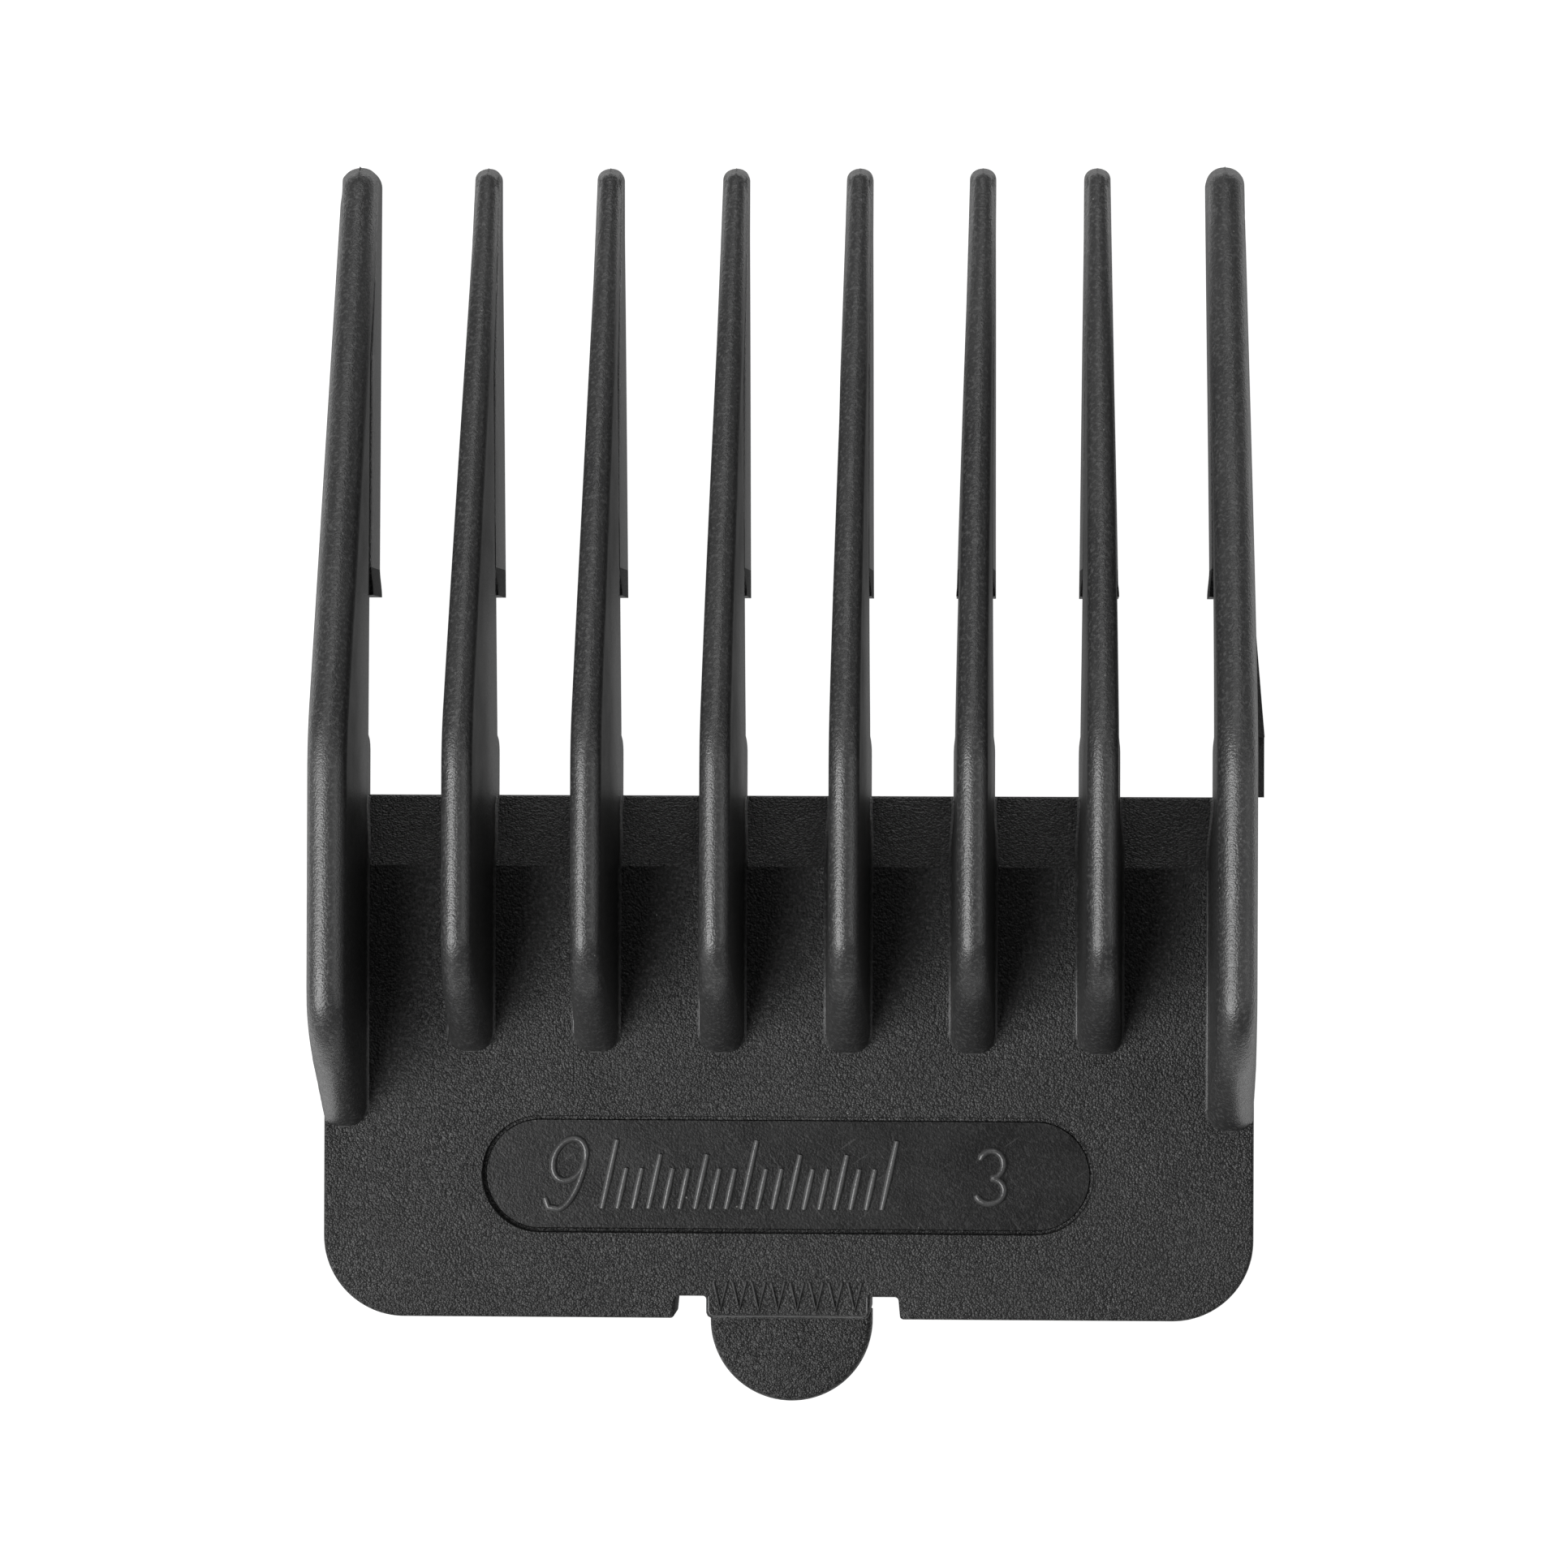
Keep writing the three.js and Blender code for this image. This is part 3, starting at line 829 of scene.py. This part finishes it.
class Nodes:
    """A small helper that adds and links shader nodes in one tree."""

    def __init__(self, material):
        self.tree = material.node_tree
        self.shader = self.tree.nodes["Principled BSDF"]

    def add(self, kind, **settings):
        """A new node with its settings."""
        node = self.tree.nodes.new(kind)
        for key, value in settings.items():
            setattr(node, key, value)
        return node

    def link(self, source, target):
        """Joins an output to an input."""
        self.tree.links.new(source, target)

    def noise(self, coordinates, feature_mm, detail):
        """Noise with features of a size in millimetres."""
        node = self.add("ShaderNodeTexNoise")
        node.inputs["Scale"].default_value = 1 / (feature_mm * MM)
        node.inputs["Detail"].default_value = detail
        self.link(coordinates, node.inputs["Vector"])
        return node.outputs["Fac"]

    def cells(self, coordinates, size_mm):
        """Voronoi cells of a size in millimetres."""
        node = self.add("ShaderNodeTexVoronoi", feature="F1")
        node.inputs["Scale"].default_value = 1 / (size_mm * MM)
        self.link(coordinates, node.inputs["Vector"])
        return node

    def ramp(self, source, stops):
        """A grey ramp over a value."""
        node = self.add("ShaderNodeValToRGB")
        fill_ramp(node.color_ramp, stops)
        self.link(source, node.inputs["Fac"])
        return node.outputs["Color"]

    def span(self, source, low, high):
        """Noise spread over a range of values."""
        node = self.add("ShaderNodeMapRange")
        node.inputs["From Min"].default_value = 0.3
        node.inputs["From Max"].default_value = 0.7
        node.inputs["To Min"].default_value = low
        node.inputs["To Max"].default_value = high
        self.link(source, node.inputs["Value"])
        return node.outputs["Result"]

    def mix(self, factor, colour_a, colour_b):
        """Two colours, plain or linked, mixed by a factor."""
        node = self.add("ShaderNodeMix", data_type="RGBA")
        self.link(factor, node.inputs["Factor"])
        for socket, colour in ((node.inputs["A"], colour_a), (node.inputs["B"], colour_b)):
            if isinstance(colour, tuple):
                socket.default_value = colour
            else:
                self.link(colour, socket)
        return node.outputs["Result"]

    def bump(self, height, distance_mm, normal=None):
        """A bump of a height in millimetres, on top of an earlier one."""
        node = self.add("ShaderNodeBump")
        node.inputs["Strength"].default_value = 1.0
        node.inputs["Distance"].default_value = distance_mm * MM
        self.link(height, node.inputs["Height"])
        if normal is not None:
            self.link(normal, node.inputs["Normal"])
        return node.outputs["Normal"]


def moulded_plastic(
    name, shade, gloss, grain_mm, grain_depth, sheen=0.5, painted_edge_highlight=0.0, scratches=0.0, waves=0.1, mottle=3.6
):
    """Black moulded plastic: spark-eroded grain, tone clouds, dust specks, scratches and painted edge
    highlights.
    """
    material = bpy.data.materials.new(name)
    material.use_nodes = True
    nodes = Nodes(material)
    shader = nodes.shader
    shader.inputs["Specular IOR Level"].default_value = sheen
    place = nodes.add("ShaderNodeTexCoord").outputs["Object"]

    cloud = nodes.noise(place, CLOUD_MM, 3.0)
    flecks = nodes.noise(place, FLECK_MM, 1.0)
    base = nodes.mix(
        nodes.ramp(cloud, [(0.35, 0.0), (0.65, 1.0)]),
        (shade * 0.8, shade * 0.8, shade * 0.82, 1),
        grey(shade * 1.2),
    )
    base = nodes.mix(nodes.ramp(flecks, [(0.5, 0.0), (0.72, 1.0)]), base, grey(shade * mottle))

    dust = nodes.cells(place, DUST_MM)
    dot = nodes.ramp(dust.outputs["Distance"], [(0.05, 1.0), (0.10, 0.0)])
    split = nodes.add("ShaderNodeSeparateColor")
    nodes.link(dust.outputs["Color"], split.inputs["Color"])
    chosen = nodes.ramp(split.outputs["Red"], [(0.99 - DUST_SHARE, 0.0), (1 - DUST_SHARE, 1.0)])
    both = nodes.add("ShaderNodeMath", operation="MULTIPLY")
    nodes.link(dot, both.inputs[0])
    nodes.link(chosen, both.inputs[1])
    base = nodes.mix(both.outputs["Value"], base, DUST_COLOUR)

    # Painted highlight: sharp edges are lightened in the colour itself, standing in for the glint on their
    # rounding.
    if painted_edge_highlight:
        edges = nodes.add("ShaderNodeNewGeometry").outputs["Pointiness"]
        edge_highlight_mask = nodes.ramp(edges, [(0.53, 0.0), (0.64, painted_edge_highlight)])
        base = nodes.mix(edge_highlight_mask, base, grey(shade * 3))
    if scratches:
        for turn in SCRATCH_TURNS:
            grid = nodes.add("ShaderNodeMapping", vector_type="TEXTURE")
            grid.inputs["Rotation"].default_value = (0, 0, turn)
            grid.inputs["Scale"].default_value = (SCRATCH_STRETCH, 1, 1)
            nodes.link(place, grid.inputs["Vector"])
            streak = nodes.noise(grid.outputs["Vector"], SCRATCH_MM, 0.0)
            line = nodes.ramp(streak, [(0.78, 0.0), (0.81, scratches)])
            base = nodes.mix(line, base, SCRATCH_COLOUR)
    nodes.link(base, shader.inputs["Base Color"])

    patches = nodes.noise(place, PATCH_MM, 1.0)
    nodes.link(nodes.span(patches, gloss - 0.03, gloss + 0.04), shader.inputs["Roughness"])

    slow = nodes.bump(nodes.noise(place, WAVE_MM, 1.0), waves)
    cells = nodes.cells(place, grain_mm)
    pebbles = nodes.bump(cells.outputs["Distance"], -grain_depth, slow)
    hollows = nodes.noise(place, grain_mm * PIT_SIZE, 0.0)
    pits = nodes.bump(hollows, grain_depth * PIT_DEPTH, pebbles)
    nodes.link(pits, shader.inputs["Normal"])
    return material


grained = moulded_plastic(
    "grained_plastic", shade=0.0085, gloss=0.42, grain_mm=0.1, grain_depth=0.044, sheen=0.29, waves=0.3,
    mottle=4.2,
)
satin = moulded_plastic(
    "satin_plastic", shade=0.019, gloss=0.43, grain_mm=0.09, grain_depth=0.014, sheen=0.74, painted_edge_highlight=0.5,
    mottle=2.8,
)
panel_finish = moulded_plastic(
    "panel_plastic", shade=0.007, gloss=0.32, grain_mm=0.1, grain_depth=0.006, sheen=0.29,
    scratches=0.3, waves=0.05, mottle=2.6,
)
# Partly painted highlight: the marks, the tab's rim and the foot lines are real ridges, but this lighter
# colour stands in for the glints along their edges.
raised_painted_highlight = moulded_plastic(
    "raised_plastic_painted_highlight", shade=0.035, gloss=0.30, grain_mm=0.1, grain_depth=0.005, painted_edge_highlight=0.6,
    mottle=1.5,
)
# Painted shade: a near-black, barely reflecting finish for the last stretch of each rail's flange before
# its hook, where the comb only lies in shadow.
flange_painted_shade = moulded_plastic(
    "hook_painted_shade_plastic", shade=0.005, gloss=0.55, grain_mm=0.1, grain_depth=0.03, sheen=0.08,
)


def add_piece(obj, material, body, slot, *replaced):
    """Gives a piece its material and the body it rides on, and hides the CAD nodes it stands for. The slot
    argument is not used.
    """
    obj.data.materials.clear()
    obj.data.materials.append(material)
    if body:
        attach(obj, body)
    if replaced:
        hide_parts(*replaced)


# ---------------------------------------------------------------- the pieces

for node in INNER_RAILS + OUTER_RAILS:
    shape = rail_shape(node)
    rail = build_rail(node, shape)
    add_piece(rail, satin, "comb", "satin_plastic", node)
    # The flange's last stretch before the hook takes the painted shade finish.
    rail.data.materials.append(flange_painted_shade)
    for face in rail.data.polygons:
        x, y, z = face.center / MM
        if HOOK_Y < y < HOOK_Y + shape.FLANGE_LENGTH and z < shape.ledge_z(y):
            face.material_index = 1

shell = build_shell()
add_piece(
    shell, grained, "comb", "grained_plastic",
    "comb_plate", "front_lip", "side_skirt_left", "side_skirt_right", "rear_wall_left", "rear_wall_right",
)
shell.data.materials.append(panel_finish)
for face in shell.data.polygons:
    x, y, z = face.center / MM
    faces_up = face.normal.z > 0.95
    if faces_up and abs(z - PANEL_FLOOR) < 0.02 and abs(y - PANEL_Y) < PANEL_HALF_HEIGHT:
        face.material_index = 1
# The raised ridges take the lighter finish, a painted highlight for the glints along their edges.
add_piece(build_marks(), raised_painted_highlight, "comb", "satin_plastic")
add_piece(build_arrows(), raised_painted_highlight, "comb", "satin_plastic")
add_piece(build_foot_lines(), raised_painted_highlight, "comb", "satin_plastic")
add_piece(build_pad(), grained, "latch", "grained_plastic", "thumb_pad")
spring = build_latch_wall()
add_piece(spring, grained, None, "grained_plastic", "latch_wall", "living_hinge")
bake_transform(spring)

for name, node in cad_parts.items():
    if node.hide_render:
        continue
    node.data.materials.clear()
    node.data.materials.append(satin if "guide" in name or "hook" in name else grained)
    bevel_edges(node, CAD_EDGE_ROUNDING, 3, 40)
    smooth_shaded(node, 30)
    weight_normals(node)

# ---------------------------------------------------------------- stage, lights and camera

HALF_FLOOR = 3.0
FLOOR_DROP = 0.05 * MM


def glowing_white(name, base, strength):
    """A pale surface that glows a little, so that it stays even under the lights."""
    material = bpy.data.materials.new(name)
    material.use_nodes = True
    shader = material.node_tree.nodes["Principled BSDF"]
    shader.inputs["Base Color"].default_value = grey(base)
    shader.inputs["Roughness"].default_value = 0.9
    shader.inputs["Emission Color"].default_value = grey(1.0)
    shader.inputs["Emission Strength"].default_value = strength
    return material


stage_mesh = bpy.data.meshes.new("floor")
floor_corners = [(-1, -1, 0), (1, -1, 0), (1, 1, 0), (-1, 1, 0)]
stage_mesh.from_pydata([Vector(corner) * HALF_FLOOR for corner in floor_corners], [], [(0, 1, 2, 3)])
floor = bpy.data.objects.new("floor", stage_mesh)
floor.location.z = -FLOOR_DROP
bpy.context.scene.collection.objects.link(floor)
floor.data.materials.append(glowing_white("pale_floor", 0.1, 1.0))
floor.visible_diffuse = False
floor.visible_glossy = False

# Light from all round, by height from straight below to straight above: dim under the comb, then the
# bright table around it, and a dark room from the horizon up.
SURROUND = [(0.0, 0.2), (0.09, 0.3), (0.17, 2.2), (0.34, 1.5), (0.44, 0.22), (0.52, 0.09), (1.0, 0.05)]

world = bpy.data.worlds.new("studio")
world.use_nodes = True
links = world.node_tree.links
direction = world.node_tree.nodes.new("ShaderNodeTexCoord")
parts = world.node_tree.nodes.new("ShaderNodeSeparateXYZ")
level = world.node_tree.nodes.new("ShaderNodeMapRange")
level.inputs["From Min"].default_value = -1
ramp = world.node_tree.nodes.new("ShaderNodeValToRGB")
fill_ramp(ramp.color_ramp, SURROUND)
links.new(direction.outputs["Generated"], parts.inputs["Vector"])
links.new(parts.outputs["Z"], level.inputs["Value"])
links.new(level.outputs["Result"], ramp.inputs["Fac"])
links.new(ramp.outputs["Color"], world.node_tree.nodes["Background"].inputs["Color"])
bpy.context.scene.world = world
bpy.context.scene.view_settings.view_transform = "Standard"

LIGHT_AIM = Vector((0, -6, 8)) * MM


def softbox(name, direction, distance_m, size_m, watts):
    """A round studio light that faces the object."""
    data = bpy.data.lights.new(name, "AREA")
    data.shape = "DISK"
    data.size = size_m
    data.energy = watts
    light = bpy.data.objects.new(name, data)
    light.location = LIGHT_AIM + Vector(direction).normalized() * distance_m
    light.rotation_euler = (LIGHT_AIM - light.location).to_track_quat("-Z", "Y").to_euler()
    bpy.context.scene.collection.objects.link(light)


softbox("key", (-0.70, -0.30, 1.0), distance_m=0.7, size_m=0.56, watts=7.7)
softbox("front_card", (0.0, 0.75, 0.66), distance_m=0.6, size_m=0.4, watts=0.75)
softbox("right_card", (0.8, 0.0, 0.6), distance_m=0.6, size_m=0.5, watts=0.65)

CAMERA_DISTANCE = 290 * MM
CAMERA_X = 11.5 * MM
FRAME_WIDTH_AT_DECK = 77.43 * MM
AIM_AT_DECK = Vector((-0.23, -0.16, DECK_TOP)) * MM
ROLL_DEG = -0.2
SENSOR_MM = 36

camera_data = bpy.data.cameras.new("camera")
camera_data.sensor_width = SENSOR_MM
camera_data.lens = SENSOR_MM * CAMERA_DISTANCE / FRAME_WIDTH_AT_DECK
camera_data.clip_start = 0.01
camera = bpy.data.objects.new("camera", camera_data)
camera.location = Vector((CAMERA_X, AIM_AT_DECK.y, DECK_TOP * MM + CAMERA_DISTANCE))
backward = (camera.location - AIM_AT_DECK).normalized()
roll = math.radians(ROLL_DEG)
up_hint = Vector((math.sin(roll), math.cos(roll), 0))
across = up_hint.cross(backward).normalized()
upward = backward.cross(across)
camera.rotation_euler = Matrix((across, upward, backward)).transposed().to_euler()
bpy.context.scene.collection.objects.link(camera)
bpy.context.scene.camera = camera
